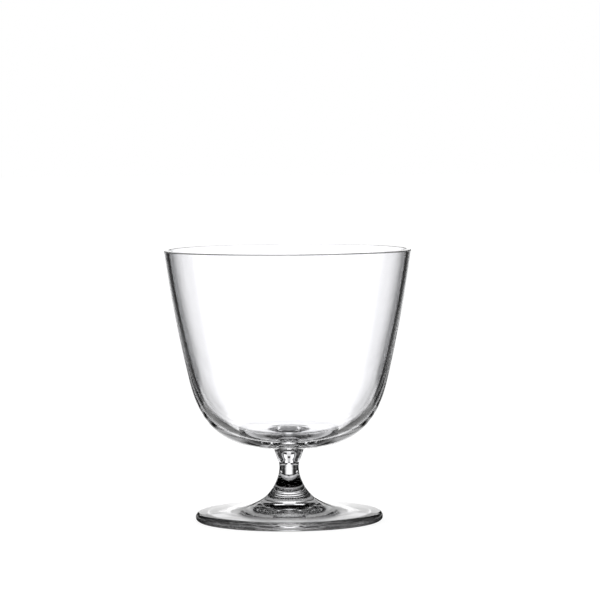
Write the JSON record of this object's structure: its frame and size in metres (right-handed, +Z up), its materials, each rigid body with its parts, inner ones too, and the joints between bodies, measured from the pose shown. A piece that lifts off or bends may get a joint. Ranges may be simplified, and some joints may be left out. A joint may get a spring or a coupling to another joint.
{
  "type": "cocktail glass",
  "caption": "Short-stemmed clear cocktail glass: a deep flared bowl with a round shoulder on a waisted stem and a round foot.",
  "frame": {"origin": "centre of the foot on the plane that the glass stands on", "axes": "+Z up along the axis of turning, through the stem to the bowl's mouth; X and Y are alike"},
  "size_m": [0.092, 0.092, 0.1012],
  "materials": {
    "clear_glass": "fire-polished, colourless"
  },
  "bodies": {
    "root": {"bowl": "clear_glass", "stem": "clear_glass", "foot": "clear_glass"}
  },
  "joints": []
}
